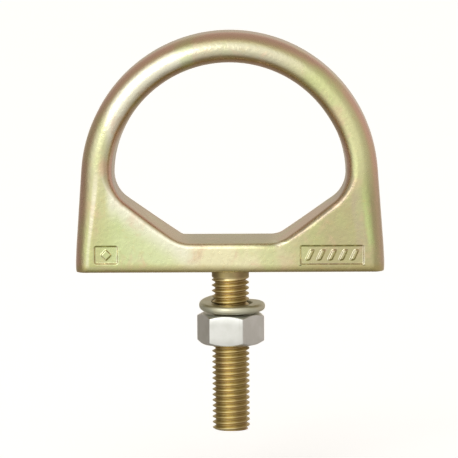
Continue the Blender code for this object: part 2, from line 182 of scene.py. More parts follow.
# camera
CAMERA_DISTANCE = 1.4
CAMERA_AZIMUTH = math.radians(1.0)
CAMERA_ELEVATION = math.radians(6.7)
CAMERA_ROLL = math.radians(-0.37)
VIEW_WIDTH = 0.14494
AIM_RIGHT = -0.00041
AIM_UP = 0.0126
SENSOR = 36.0

# room light: a base level, then lobes of (axis, wide angle, tight angle, colour)
BELOW_LIGHT = (0.30, 0.27, 0.23)
LIGHT_LOBES = (
    ((0, 0, 1), 100, 20, (0.14, 0.125, 0.11)),
    ((-0.34, -1.0, 0.09), 78, 14, (0.50, 0.51, 0.49)),
    ((-0.80, -1.0, 0.10), 42, 8, (0.30, 0.30, 0.28)),
    ((-0.20, -0.80, 0.62), 46, 6, (0.42, 0.42, 0.41)),
    ((0.97, -0.45, 0.16), 75, 10, (0.25, 0.235, 0.22)),
    ((0.7, 0.7, 0.0), 50, 10, (0.18, 0.15, 0.14)),
    ((0, 1, 0.08), 50, 12, (0.215, 0.185, 0.135)),
    ((0.36, -0.40, -0.85), 66, 10, (-0.20, -0.20, -0.185)),
)
PAPER_STRENGTH = 1.05
KEY_PLACE = Vector((-0.5, -1.15, 0.5))
KEY_TARGET = Vector((0, 0, 0.01))
KEY_SIZE = 0.6
KEY_POWER = 2.5

# the passivate's colours, from a face that looks forward to one that is turned away: its own yellow-green in
# front, then a painted sheen that runs rosier and browner as the face turns away
FILM_AND_SHEEN_COLOURS = (
    (0.0, (0.62, 0.58, 0.27)),
    (0.08, (0.58, 0.57, 0.27)),
    (0.20, (0.60, 0.51, 0.26)),
    (0.32, (0.67, 0.46, 0.27)),
    (0.45, (0.72, 0.45, 0.30)),
    (0.68, (0.76, 0.45, 0.34)),
    (1.0, (0.62, 0.46, 0.33)),
)
# tints laid over the film one after the other, each where its own mask is: weight, colour. Some are the
# skin's own colour; most are painted highlights and painted shade
ROSE = (0.80, 0.50, 0.34)
SKIN_TINTS = {
    # a painted highlight, pale along the left edges
    "painted_edge_highlight": (0.6, (0.86, 0.80, 0.66)),
    # painted shade under the bail
    "shade_under_bail": (0.85, (0.41, 0.28, 0.09)),
    # painted shade, reddish brown, on faces that turn down
    "shade_facing_down": (0.6, (0.62, 0.32, 0.16)),
    # a painted highlight in the middle of the base
    "highlight_middle": (0.85, (0.96, 0.90, 0.58)),
    # painted shade on the right of the base
    "shaded_right": (0.6, (0.45, 0.40, 0.18)),
    # the film's green at the lower left, lightened with painted light
    "green_and_lit_left": (0.65, (0.74, 0.88, 0.46)),
    # a painted highlight, paler, on the front of the bail's left
    "highlight_bail_left": (0.4, (0.80, 0.75, 0.60)),
    # a painted highlight, paler, along the top of the bail
    "highlight_bail_top": (0.6, (0.64, 0.61, 0.50)),
    # a painted highlight, greener and lighter, on the front of the bail's right
    "green_highlight_bail_right": (0.6, (0.80, 0.82, 0.42)),
    # painted shade on the rim beside the right slope
    "shaded_rim": (0.9, (0.26, 0.19, 0.11)),
    # painted shade on the wall of the left slope
    "shaded_left_slope": (0.85, (0.48, 0.32, 0.08)),
    # painted light, rosier, on the wall of the right slope
    "lit_right_slope": (0.7, (0.76, 0.45, 0.28)),
    # painted shade on the wall of the opening's floor
    "shaded_level_floor": (0.8, (0.38, 0.35, 0.12)),
    # painted shade round the bends of the opening's wall
    "bend": (0.95, (0.26, 0.15, 0.05)),
    # a painted highlight on the face below the left slope
    "slope_highlight": (0.8, (0.98, 0.96, 0.80)),
    # painted shade under the panels' top edges
    "shade_panel_roof": (0.8, (0.36, 0.35, 0.07)),
    # a painted highlight on panel walls that face left
    "highlight_panel_side": (0.8, (1.0, 0.97, 0.78)),
    "mauve_streak": (0.42, (0.56, 0.40, 0.35)),
    "green_streak": (0.6, (0.62, 0.80, 0.28)),
    # painted shade along the foot, darker towards the bottom
    "foot": (0.65, (0.52, 0.42, 0.11)),
    "rosy_blotch": (0.42, ROSE),
    "green_blotch": (0.4, (0.54, 0.66, 0.22)),
    "amber_blotch": (0.25, (0.66, 0.46, 0.16)),
    "rosy_spot": (0.6, ROSE),
}


def smooth_step(value, low, high):
    share = np.clip((value - low) / (high - low), 0.0, 1.0)
    return share * share * (3 - 2 * share)


def eased(height, start, *changes):
    """A value that changes smoothly with height: each change is (from height, to height, amount)."""
    for low, high, amount in changes:
        start = start + amount * smooth_step(height, low, high)
    return start


# ---------------------------------------------------------------- mesh helpers


def wrap_grid(rows, columns, close_rows=True, close_columns=True):
    """Quads over a grid of vertices that are numbered row by row."""
    last_row = rows if close_rows else rows - 1
    last_column = columns if close_columns else columns - 1
    i, j = np.meshgrid(np.arange(last_row), np.arange(last_column), indexing="ij")
    after_i, after_j = (i + 1) % rows, (j + 1) % columns
    quads = np.stack(
        [i * columns + j, after_i * columns + j, after_i * columns + after_j, i * columns + after_j], -1
    )
    return quads.reshape(-1, 4)


def bmesh_of(points, faces):
    mesh = bpy.data.meshes.new("scratch")
    mesh.from_pydata(points.tolist(), [], faces.tolist())
    build = bmesh.new()
    build.from_mesh(mesh)
    bpy.data.meshes.remove(mesh)
    return build


def piece_from(build, name, material, body, node, sharp):
    """Turn a bmesh in millimetres into a shown piece that stands for a CAD node.

    Edges that turn by more than the sharp angle, in degrees, are drawn as corners.
    """
    bmesh.ops.recalc_face_normals(build, faces=build.faces)
    bmesh.ops.scale(build, vec=(MM, MM, MM), verts=build.verts)
    mesh = bpy.data.meshes.new(name)
    build.to_mesh(mesh)
    build.free()
    mesh.shade_smooth()
    mesh.set_sharp_from_angle(angle=math.radians(sharp))
    mesh.materials.append(material)
    item = bpy.data.objects.new(name, mesh)
    bpy.context.scene.collection.objects.link(item)
    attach(item, body)
    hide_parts(node)


def pairs_round(ring):
    """Each item of a ring with the one after it."""
    return list(zip(ring, ring[1:] + ring[:1]))


def bridge(build, low, high):
    """A band of faces between two rings of vertices that face each other."""
    for (a, b), (c, d) in zip(pairs_round(low), pairs_round(high)):
        build.faces.new((a, b, d, c))


def edges_round(build, ring):
    return [build.edges.get(pair) for pair in pairs_round(ring)]


def ordered_ring(edges):
    """The vertices of a closed chain of edges, in order."""
    left = set(edges[1:])
    ring = list(edges[0].verts)
    while left:
        following = next(edge for edge in ring[-1].link_edges if edge in left)
        left.remove(following)
        ring.append(following.other_vert(ring[-1]))
    return ring[:-1]


def cut_flat(build, height, side):
    """Remove what is past a height and return the open edge there as an ordered ring."""
    geometry = list(build.verts) + list(build.edges) + list(build.faces)
    bmesh.ops.bisect_plane(
        build, geom=geometry, dist=CUT_SNAP, plane_co=(0, 0, height), plane_no=(0, 0, side), clear_outer=True
    )
    level = [
        edge
        for edge in build.edges
        if edge.is_boundary and all(abs(vertex.co.z - height) < TOUCH for vertex in edge.verts)
    ]
    return ordered_ring(level)


# ---------------------------------------------------------------- outlines


def arc(centre, radius, start, end, steps):
    angles = np.linspace(start, end, steps + 1)
    return np.stack([centre[0] + radius * np.cos(angles), centre[1] + radius * np.sin(angles)], -1)


def joined(*runs):
    """One run of points from several that meet end to end."""
    parts = [run[:-1] for run in runs[:-1]] + [runs[-1]]
    return np.concatenate(parts)


def shares_along(points):
    """Each point's share of the run's length."""
    lengths = np.concatenate([[0], np.cumsum(np.linalg.norm(np.diff(points, axis=0), axis=1))])
    return lengths / lengths[-1]


def stations(half, knots):
    """A half outline with points spread evenly from knot to knot, and its mirror image."""
    along = shares_along(half)
    marks = [0]
    for below, inside in knots:
        marks.append(along[next(i for i, (x, z) in enumerate(half) if z < below and x < inside)])
    marks.append(1)
    shares = [np.linspace(a, b, n, endpoint=False) for a, b, n in zip(marks, marks[1:], STATION_COUNTS)]
    shares = np.concatenate(shares + [[1.0]])
    right = np.stack([np.interp(shares, along, half[:, k]) for k in (0, 1)], -1)
    left = right[1:-1][::-1] * (-1, 1)
    return np.concatenate([right, left])


def outer_half():
    """Right half of the D's outer outline, carried on below the base plane."""
    bail_steps, flank_points, bend_steps, side_points, corner_steps, floor_points = OUTER_COUNTS
    bail = arc((0, BAIL_CENTRE_Z), BAIL_RADIUS, math.pi / 2, FLANK_ANGLE, bail_steps)
    drop = bail[-1][1] - FLANK_END_Z
    foot = np.array([bail[-1][0] + drop * math.tan(FLANK_ANGLE), FLANK_END_Z])
    flank = np.linspace(bail[-1], foot, flank_points)
    bend_radius = (BASE_HALF_WIDTH - foot[0]) / (1 - math.cos(FLANK_ANGLE))
    bend_centre = (BASE_HALF_WIDTH - bend_radius, FLANK_END_Z - bend_radius * math.sin(FLANK_ANGLE))
    bend = arc(bend_centre, bend_radius, FLANK_ANGLE, 0, bend_steps)
    centre = np.array([BASE_HALF_WIDTH - BELOW_CORNER, BELOW_CORNER - BELOW_BASE])
    side = np.linspace(bend[-1], centre + (BELOW_CORNER, 0), side_points)
    corner = arc(centre, BELOW_CORNER, 0, -math.pi / 2, corner_steps)
    floor = np.linspace(corner[-1], (0, -BELOW_BASE), floor_points)
    return joined(bail, flank, bend, side, corner, floor)


def opening_half(foot_fillet):
    """Right half of the opening's outline: bail, corner, slope, foot and floor."""
    bail_steps, corner_steps, slope_points, foot_steps, floor_points = OPENING_COUNTS
    centre = np.array([0, OPENING_CENTRE_Z])
    along = np.array([math.cos(SLOPE_ANGLE), math.sin(SLOPE_ANGLE)])
    inward = np.array([-along[1], along[0]])
    start = np.array([SLOPE_START_X, FLOOR_Z])
    lifted = start + inward * SLOPE_TOP_FILLET - centre
    half_b = lifted @ along
    rest = lifted @ lifted - (OPENING_RADIUS - SLOPE_TOP_FILLET) ** 2
    travel = -half_b + math.sqrt(half_b * half_b - rest)
    top_centre = start + along * travel + inward * SLOPE_TOP_FILLET
    away = top_centre - centre
    join_angle = math.atan2(away[1], away[0])
    bail = arc(centre, OPENING_RADIUS, math.pi / 2, join_angle, bail_steps)
    slope_normal = SLOPE_ANGLE - math.pi / 2
    corner = arc(top_centre, SLOPE_TOP_FILLET, join_angle, slope_normal, corner_steps)
    foot_tangent = foot_fillet * math.tan(SLOPE_ANGLE / 2)
    slope = np.linspace(start + along * travel, start + along * foot_tangent, slope_points)
    foot_centre = (SLOPE_START_X - foot_tangent, FLOOR_Z + foot_fillet)
    foot = arc(foot_centre, foot_fillet, slope_normal, -math.pi / 2, foot_steps)
    floor = np.linspace(foot[-1], (0, FLOOR_Z), floor_points)
    return joined(bail, corner, slope, foot, floor)


def normals_of(outline):
    """Unit normals pointing away from the inside of a clockwise outline."""
    tangent = np.roll(outline, -1, 0) - np.roll(outline, 1, 0)
    tangent /= np.linalg.norm(tangent, axis=1, keepdims=True)
    return np.stack([-tangent[:, 1], tangent[:, 0]], -1)


# ---------------------------------------------------------------- forging


def forging_rings():
    """Rings of (x, y, z) points round the D, in order round the bar's section."""
    outer = stations(outer_half(), OUTER_KNOTS)
    opening, sharp, worn = (
        stations(opening_half(fillet), OPENING_KNOTS)
        for fillet in (FRONT_FOOT_FILLET, BACK_LEFT_FOOT_FILLET, BACK_RIGHT_FOOT_FILLET)
    )
    # behind, the left foot is left sharp and the right one is worn round
    back_opening = np.where(sharp[:, :1] > 0, worn, sharp)
    outer_normals, opening_normals = normals_of(outer), normals_of(opening)
    outer_z, opening_z = outer[:, 1], opening[:, 1]
    reach_out = eased(outer_z, *OUTER_ROUND)
    reach_in = eased(opening_z, *OPENING_ROUND)
    draft = eased(opening_z, *OPENING_DRAFT)
    width = np.linalg.norm(outer - opening, axis=1)
    fit = np.minimum(1, (width - draft - LEAST_FLAT) / (reach_out + reach_in))
    reach_out, reach_in = reach_out * fit, reach_in * fit
    deep_in = reach_in * eased(opening_z, *OPENING_ROUND_DEPTH)

    def outer_ring(side, turn):
        depth = np.full(len(outer), side * (DEPTH / 2 - OUTER_ROUND_DEPTH * (1 - math.sin(turn))))
        place = outer - outer_normals * (reach_out * (1 - math.cos(turn)))[:, None]
        return np.stack([place[:, 0], depth, place[:, 1]], -1)

    def opening_ring(side, turn):
        depth = side * (DEPTH / 2 - deep_in * (1 - math.sin(turn)))
        front_share = (DEPTH / 2 - depth) / DEPTH
        outset = reach_in * (1 - math.cos(turn)) + draft * front_share
        outline = back_opening + (opening - back_opening) * front_share[:, None]
        place = outline + opening_normals * outset[:, None]
        return np.stack([place[:, 0], depth, place[:, 1]], -1)

    turns = np.linspace(0, math.pi / 2, ROUND_STEPS + 1)
    shares = np.linspace(0, 1, FACE_ROWS + 1)[1:-1]
    rings = [outer_ring(1, turn) for turn in turns[::-1]]
    rings += [outer_ring(-1, turn) for turn in turns]
    front_in = opening_ring(-1, turns[-1])
    rings += [rings[-1] * (1 - share) + front_in * share for share in shares]
    rings += [opening_ring(-1, turn) for turn in turns[::-1]]
    rings += [opening_ring(1, turn) for turn in turns]
    back_out, back_in = rings[0], rings[-1]
    rings += [back_in * (1 - share) + back_out * share for share in shares]
    return rings


def round_the_foot(build, ring):
    """Close the base with a rounding into the flat underside, small at the two ends."""
    flat = np.array([(vertex.co.x, vertex.co.y) for vertex in ring])
    following = np.roll(flat, -1, 0)
    if (flat[:, 0] * following[:, 1] - following[:, 0] * flat[:, 1]).sum() < 0:
        ring, flat = ring[::-1], flat[::-1]
    normals = normals_of(flat)
    reach = BASE_END_ROUND + (BASE_EDGE_ROUND - BASE_END_ROUND) * normals[:, 1] ** BASE_END_POWER
    for step in range(1, FOOT_STEPS + 1):
        turn = step / FOOT_STEPS * math.pi / 2
        place = flat + normals * (reach * (1 - math.cos(turn)))[:, None]
        height = BASE_EDGE_HEIGHT * (1 - math.sin(turn))
        new = [build.verts.new((x, y, height)) for x, y in place]
        bridge(build, new, ring)
        ring = new
    return ring


def close_with_socket(build, rim):
    """The flat underside round the stud, with the blind socket above it."""
    radius = CREST_RADIUS + SPIGOT_GAP
    angles = np.arange(SOCKET_STEPS) * 2 * math.pi / SOCKET_STEPS
    around = [(radius * math.cos(angle), radius * math.sin(angle)) for angle in angles]
    mouth, roof = (
        [build.verts.new((x, y, height)) for x, y in around] for height in (0, SPIGOT_TOP_Z + SOCKET_ROOM)
    )
    bridge(build, mouth, roof)
    build.faces.new(roof)
    edges = edges_round(build, rim) + edges_round(build, mouth)
    bmesh.ops.triangle_fill(build, edges=edges, use_beauty=True)


def box_distance(x, z, half_x, half_z, corner):
    """Signed distance to a rounded rectangle about the origin."""
    dx, dz = np.abs(x) - half_x + corner, np.abs(z) - half_z + corner
    outside = np.hypot(np.maximum(dx, 0), np.maximum(dz, 0))
    return outside + np.minimum(np.maximum(dx, dz), 0) - corner


def diamond_mark(x, z):
    turned_x, turned_z = (x + z) / math.sqrt(2), (x - z) / math.sqrt(2)
    return 1 - smooth_step(box_distance(turned_x, turned_z, *DIAMOND), *MARK_WALL)


def bar_marks(x, z):
    raised = 0.0
    for index in range(BAR_COUNT):
        across = x - (index - (BAR_COUNT - 1) / 2) * BAR_PITCH - z * math.tan(BAR_LEAN)
        raised = np.maximum(raised, 1 - smooth_step(box_distance(across, z, *BAR), *MARK_WALL))
    return raised


def panel_depth(x, z):
    """Depth of the front face's panels below the face, in millimetres."""
    sunk = 0.0
    for (centre_x, centre_z, width, height), mark in ((SMALL_PANEL, diamond_mark), (LONG_PANEL, bar_marks)):
        dx, dz = x - centre_x, z - centre_z
        distance = box_distance(dx, dz, width / 2, height / 2, PANEL_CORNER)
        sunk = sunk + (1 - smooth_step(distance, *PANEL_WALL)) * (1 - mark(dx, dz))
    return PANEL_DEPTH * sunk


def on_front(face):
    return all(abs(vertex.co.y + DEPTH / 2) < TOUCH for vertex in face.verts)


def meets(face, low, high):
    """Whether a face in the front plane overlaps a rectangle by more than a hair."""
    xs = [vertex.co.x for vertex in face.verts]
    zs = [vertex.co.z for vertex in face.verts]
    across = max(xs) > low[0] + HAIR and min(xs) < high[0] - HAIR
    return across and max(zs) > low[1] + HAIR and min(zs) < high[1] - HAIR


def open_window(build, low, high):
    """Cut a rectangle of (x, z) corners out of the flat front and return the hole's edges."""
    for place, side in (
        ((low[0], 0, 0), (1, 0, 0)),
        ((high[0], 0, 0), (1, 0, 0)),
        ((0, 0, low[1]), (0, 0, 1)),
        ((0, 0, high[1]), (0, 0, 1)),
    ):
        faces = [face for face in build.faces if on_front(face) and meets(face, low, high)]
        parts = dict.fromkeys(part for face in faces for part in (*face.verts, *face.edges, face))
        bmesh.ops.bisect_plane(build, geom=list(parts), dist=CUT_SNAP, plane_co=place, plane_no=side)
    inside = [face for face in build.faces if on_front(face) and meets(face, low, high)]
    bmesh.ops.delete(build, geom=inside, context="FACES")
    return [edge for edge in build.edges if edge.is_boundary]


def press_panels(build):
    """Lay a fine grid into a window in the flat front round each panel, and sink it."""
    for centre_x, centre_z, width, height in (SMALL_PANEL, LONG_PANEL):
        half_x, half_z = width / 2 + PANEL_MARGIN, height / 2 + PANEL_MARGIN
        low, high = (centre_x - half_x, centre_z - half_z), (centre_x + half_x, centre_z + half_z)
        rim = open_window(build, low, high)
        columns = math.ceil(2 * half_x / PANEL_STEP)
        rows = math.ceil(2 * half_z / PANEL_STEP)
        xs = np.linspace(low[0] + PANEL_SEAM, high[0] - PANEL_SEAM, columns + 1)
        zs = np.linspace(low[1] + PANEL_SEAM, high[1] - PANEL_SEAM, rows + 1)
        grid_x, grid_z = np.meshgrid(xs, zs)
        depth = panel_depth(grid_x, grid_z) - DEPTH / 2
        grid = [
            [build.verts.new((x, y, z)) for x, y, z in zip(*line)]
            for line in zip(grid_x, depth, grid_z)
        ]
        for line, above in zip(grid, grid[1:]):
            for index in range(columns):
                build.faces.new((line[index], line[index + 1], above[index + 1], above[index]))
        border = grid[0] + [line[-1] for line in grid[1:-1]] + grid[-1][::-1]
        border += [line[0] for line in grid[-2:0:-1]]
        bmesh.ops.triangle_fill(build, edges=rim + edges_round(build, border), use_beauty=True)


def build_forging(material):
    rings = forging_rings()
    build = bmesh_of(np.concatenate(rings), wrap_grid(len(rings), len(rings[0])))
    bmesh.ops.recalc_face_normals(build, faces=build.faces)
    rim = round_the_foot(build, cut_flat(build, BASE_EDGE_HEIGHT, -1))
    close_with_socket(build, rim)
    press_panels(build)
    piece_from(build, "forged_eye", material, "anchor", "d_ring_forging", sharp=50)


# ---------------------------------------------------------------- stud


def thread_radius(phase, crest, root, crest_flat):
    """Radius of a 60 degree thread at a phase from 0 to 1 of its pitch, crest at one half."""
    away = np.abs(phase - 0.5) * PITCH - crest_flat / 2
    raw = crest - np.maximum(away, 0) / math.tan(FLANK_LEAN)
    return root + THREAD_SOFTNESS * np.logaddexp(0, (raw - root) / THREAD_SOFTNESS)


def polar(radius, angle, height):
    return np.stack([radius * math.cos(angle), radius * math.sin(angle), height], -1)


def build_stud(material):
    """Helical columns with a run-out into a plain collar, and a spigot up into the socket."""
    first = math.floor(STUD_END_Z / PITCH) - SPARE_TURNS
    turns = math.ceil(-STUD_END_Z / PITCH) + 2 * SPARE_TURNS
    radii = thread_radius(THREAD_LEVELS, CREST_RADIUS, ROOT_RADIUS, CREST_FLAT)
    levels = (np.arange(first, first + turns)[:, None] + THREAD_LEVELS).ravel()
    levels = np.append(levels, first + turns)
    profile = np.append(np.tile(radii, turns), radii[0])
    columns = []
    for step in range(TURN_STEPS + 1):
        height = (levels + step / TURN_STEPS + THREAD_START) * PITCH
        whole = smooth_step(-COLLAR_LENGTH - height, 0, RUNOUT)
        reach = CREST_RADIUS + (profile - CREST_RADIUS) * whole
        chamfer = np.maximum(STUD_END_RADIUS + height - STUD_END_Z, STUD_CUT_RADIUS)
        reach = np.minimum(reach, chamfer)
        columns.append(polar(reach, 2 * math.pi * step / TURN_STEPS, height))
    grid = wrap_grid(TURN_STEPS + 1, len(levels), close_rows=False, close_columns=False)
    build = bmesh_of(np.concatenate(columns), grid)
    bmesh.ops.remove_doubles(build, verts=build.verts, dist=TOUCH)
    build.faces.new(cut_flat(build, STUD_END_Z, -1))
    ring = cut_flat(build, -COLLAR_LENGTH + COLLAR_CUT, 1)
    for radius, height in (
        (CREST_RADIUS, 0),
        (CREST_RADIUS, SPIGOT_TOP_Z - SPIGOT_CHAMFER),
        (CREST_RADIUS - SPIGOT_CHAMFER, SPIGOT_TOP_Z),
    ):
        new = []
        for vertex in ring:
            flat = vertex.co.xy.normalized() * radius
            new.append(build.verts.new((flat.x, flat.y, height)))
        bridge(build, ring, new)
        ring = new
    build.faces.new(ring)
    piece_from(build, "anchor_stud", material, "anchor", "threaded_stud", sharp=42)


# ---------------------------------------------------------------- nut


def hex_radius(angle):
    """Radius of the nut's hexagon, with rounded upright edges, at an angle from a face's middle."""
    if abs(angle) <= NUT_FLAT_ANGLE:
        return NUT_FLAT / math.cos(angle)
    centre = (NUT_FLAT - NUT_EDGE_ROUND) / math.cos(HALF_FACE)
    off = HALF_FACE - abs(angle)
    return centre * math.cos(off) + math.sqrt(NUT_EDGE_ROUND**2 - (centre * math.sin(off)) ** 2)


def nut_columns():
    """(angle, hexagon radius) round the nut, closer together at its upright edges."""
    flat = np.linspace(-NUT_FLAT_ANGLE, NUT_FLAT_ANGLE, NUT_FLAT_POINTS)
    edge = np.linspace(NUT_FLAT_ANGLE, 2 * HALF_FACE - NUT_FLAT_ANGLE, NUT_EDGE_POINTS)[1:-1]
    columns = []
    for face in range(6):
        for angle in np.concatenate([flat, edge]):
            near = angle if angle <= HALF_FACE else angle - 2 * HALF_FACE
            columns.append((NUT_TURNED - math.pi / 2 + 2 * face * HALF_FACE + angle, hex_radius(near)))
    return columns


def nut_outside(radius):
    """(radius, depth below the end face) from the end face's inner edge to the hexagon's side."""
    face = NUT_FACE_RADIUS
    drop = (radius - face) * math.tan(NUT_CHAMFER)
    return (
        (NUT_ROOT_RADIUS + 0.38, 0.0),
        (NUT_ROOT_RADIUS + 0.5, 0.0),
        (face - 0.35, 0.0),
        (face - 0.08, 0.004),
        (face + 0.07, 0.05),
        ((radius + face) / 2, drop / 2 + 0.012),
        (radius - 0.09, drop - 0.045),
        (radius - 0.025, drop + 0.03),
        (radius, drop + 0.12),
    )


def build_nut(material):
    """A grid round the nut's section: up the threaded bore, over the top, down the side, under."""
    low = NUT_TOP_Z - NUT_HEIGHT
    bore_levels = np.linspace(low + NUT_BORE_INSET, NUT_TOP_Z - NUT_BORE_INSET, NUT_BORE_LEVELS)
    columns = []
    for angle, radius in nut_columns():
        phase = (bore_levels / PITCH - angle / (2 * math.pi) - THREAD_START) % 1.0
        bore = thread_radius(phase, NUT_ROOT_RADIUS, NUT_CREST_RADIUS, NUT_CREST_FLAT)
        ends = np.minimum(bore_levels - low, NUT_TOP_Z - bore_levels)
        bore = np.maximum(bore, NUT_ROOT_RADIUS + NUT_BORE_CHAMFER - ends)
        outside = nut_outside(radius)
        section = list(zip(bore, bore_levels))
        section += [(reach, NUT_TOP_Z - depth) for reach, depth in outside]
        section += [(radius, NUT_TOP_Z - NUT_HEIGHT * share) for share in NUT_SIDE_SHARES]
        section += [(reach, low + depth) for reach, depth in outside[::-1]]
        reach, height = np.array(section).T
        columns.append(polar(reach, angle, height))
    build = bmesh_of(np.concatenate(columns), wrap_grid(len(columns), len(columns[0])))
    piece_from(build, "anchor_nut", material, "nut", "hex_nut", sharp=60)


# ---------------------------------------------------------------- washer


def washer_section():
    """(radius, height) round the wire: rounded corners and a slightly crowned outside."""
    half, reach = WASHER_THICK / 2, (WASHER_OUTER - WASHER_INNER) / 2
    section = []
    for side_x, side_z, start in ((1, 1, 0), (-1, 1, 90), (-1, -1, 180), (1, -1, 270)):
        round_x, round_z = WASHER_OUTER_ROUND if side_x > 0 else WASHER_INNER_ROUND
        for step in range(WASHER_CORNER_STEPS + 1):
            angle = math.radians(start + 90 * step / WASHER_CORNER_STEPS)
            across = side_x * (reach - round_x) + round_x * math.cos(angle)
            up = side_z * (half - round_z) + round_z * math.sin(angle)
            section.append((WASHER_MIDDLE + across, up))
    section.append((WASHER_OUTER, 0.0))
    return np.array(section)


def washer_height(turn):
    """Height of the wire at a turn from the front, level there and steepest at the split behind."""
    rise = -WASHER_RISE / 2 * turn / math.pi + WASHER_LEVEL * WASHER_RISE * math.sin(turn)
    return rise + WASHER_TIP * WASHER_RISE * (1 - math.cos(turn))


def build_washer(material):
    """A split ring whose ends stand one above the other, a left-hand helix."""
    section = washer_section()
    middle = np.array([WASHER_MIDDLE, 0])
    floor = NUT_TOP_Z + WASHER_LIFT + WASHER_THICK / 2
    limit = math.pi - WASHER_SPLIT
    even = np.linspace(-limit, limit, WASHER_STEPS)[1:-1]
    turns = np.concatenate([WASHER_END_TURNS - limit, even, limit - WASHER_END_TURNS])
    rings = []
    for turn in np.sort(turns):
        size = 1 - WASHER_END_SHRINK * (1 - smooth_step(limit - abs(turn), *WASHER_END_EASE))
        radius, offset = ((section - middle) * size + middle).T
        height = floor + washer_height(turn) + offset
        across = WASHER_OFF_CENTRE + radius * math.sin(turn)
        rings.append(np.stack([across, -radius * math.cos(turn), height], -1))
    build = bmesh_of(np.concatenate(rings), wrap_grid(len(rings), len(section), close_rows=False))
    vertices = list(build.verts)
    build.faces.new(vertices[: len(section)])
    build.faces.new(vertices[-len(section) :])
    piece_from(build, "lock_washer", material, "washer", "spring_washer", sharp=55)


# ---------------------------------------------------------------- finishes


class Nodes:
    """A node tree, with short ways to add and join its nodes."""

    def __init__(self, tree):
        self.tree = tree

    def add(self, kind, **settings):
        node = self.tree.nodes.new(kind)
        for key, value in settings.items():
            setattr(node, key, value)
        return node

    def put(self, socket, value):
        """Link a socket to another one, or set its value."""
        if isinstance(value, bpy.types.NodeSocket):
            self.tree.links.new(value, socket)
        else:
            socket.default_value = value

    def remap(self, value, low, high, start=0.0, end=1.0):
        node = self.add("ShaderNodeMapRange", interpolation_type="SMOOTHSTEP")
        for socket, item in zip(node.inputs, (value, low, high, start, end)):
            self.put(socket, item)
        return node.outputs[0]

    def mix(self, share, first, second, blend="MIX"):
        node = self.add("ShaderNodeMix", data_type="RGBA", blend_type=blend)
        self.put(node.inputs["Factor"], share)
        for name, colour in (("A", first), ("B", second)):
            self.put(node.inputs[name], (*colour, 1.0) if isinstance(colour, tuple) else colour)
        return node.outputs["Result"]


class Finish(Nodes):
    """A metal finish, built up node by node."""

    def __init__(self, name, metallic, specular=0.5):
        self.material = bpy.data.materials.new(name)
        self.material.use_nodes = True
        super().__init__(self.material.node_tree)
        self.shader = self.tree.nodes["Principled BSDF"]
        self.shader.inputs["Metallic"].default_value = metallic
        self.shader.inputs["Specular IOR Level"].default_value = specular
        self.coords = self.add("ShaderNodeTexCoord").outputs["Object"]
        self.relief = None

    def math(self, operation, first, second=0.0):
        node = self.add("ShaderNodeMath", operation=operation)
        self.put(node.inputs[0], first)
        self.put(node.inputs[1], second)
        return node.outputs[0]

    def product(self, first, *others):
        for other in others:
            first = self.math("MULTIPLY", first, other)
        return first

    def plus_share(self, value, share, other):
        """A value plus a share of another one."""
        return self.math("ADD", value, self.math("MULTIPLY", other, share))

    def length(self, first, second):
        squares = (self.math("MULTIPLY", side, side) for side in (first, second))
        return self.math("SQRT", self.math("ADD", *squares))

    def past(self, value, start, end):
        """0 to 1 as a length goes from start to end, in millimetres."""
        return self.remap(value, start * MM, end * MM)

    def split(self, vector):
        node = self.add("ShaderNodeSeparateXYZ")
        self.put(node.inputs[0], vector)
        return node.outputs

    def stretched(self, scale):
        node = self.add("ShaderNodeMapping")
        self.put(node.inputs["Vector"], self.coords)
        node.inputs["Scale"].default_value = scale
        return node.outputs[0]

    def noise(self, scale, detail, roughness=0.5, vector=None, distortion=0.0):
        node = self.add("ShaderNodeTexNoise")
        self.put(node.inputs["Vector"], vector or self.coords)
        node.inputs["Scale"].default_value = scale
        node.inputs["Detail"].default_value = detail
        node.inputs["Roughness"].default_value = roughness
        node.inputs["Distortion"].default_value = distortion
        return node.outputs["Fac"]

    def ramp(self, value, stops):
        node = self.add("ShaderNodeValToRGB")
        elements = node.color_ramp.elements
        while len(elements) < len(stops):
            elements.new(0.5)
        for element, (position, colour) in zip(elements, stops):
            element.position = position
            element.color = (*colour, 1.0)
        self.put(node.inputs[0], value)
        return node.outputs["Color"]

    def tinted(self, base, mask, weight, colour):
        """A colour laid over another where a mask is, at a weight."""
        return self.mix(self.math("MULTIPLY", mask, weight), base, colour)

    def normal(self):
        """The surface's own direction, in the object's space."""
        node = self.add("ShaderNodeVectorTransform", vector_type="NORMAL")
        node.convert_from, node.convert_to = "WORLD", "OBJECT"
        self.put(node.inputs[0], self.add("ShaderNodeNewGeometry").outputs["Normal"])
        return self.split(node.outputs[0])

    def bump(self, height, distance):
        """Add a layer of relief, in metres, on top of the last one."""
        node = self.add("ShaderNodeBump")
        node.inputs["Distance"].default_value = distance
        node.inputs["Strength"].default_value = 1.0
        self.put(node.inputs["Height"], height)
        if self.relief:
            self.put(node.inputs["Normal"], self.relief)
        self.relief = node.outputs[0]
        self.put(self.shader.inputs["Normal"], self.relief)

    def coat(self, weight, roughness, ior):
        """A clear film over the metal."""
        self.shader.inputs["Coat Weight"].default_value = weight
        self.shader.inputs["Coat Roughness"].default_value = roughness
        self.shader.inputs["Coat IOR"].default_value = ior

    def done(self, colour, roughness):
        self.put(self.shader.inputs["Base Color"], colour)
        self.put(self.shader.inputs["Roughness"], roughness)
        return self.material


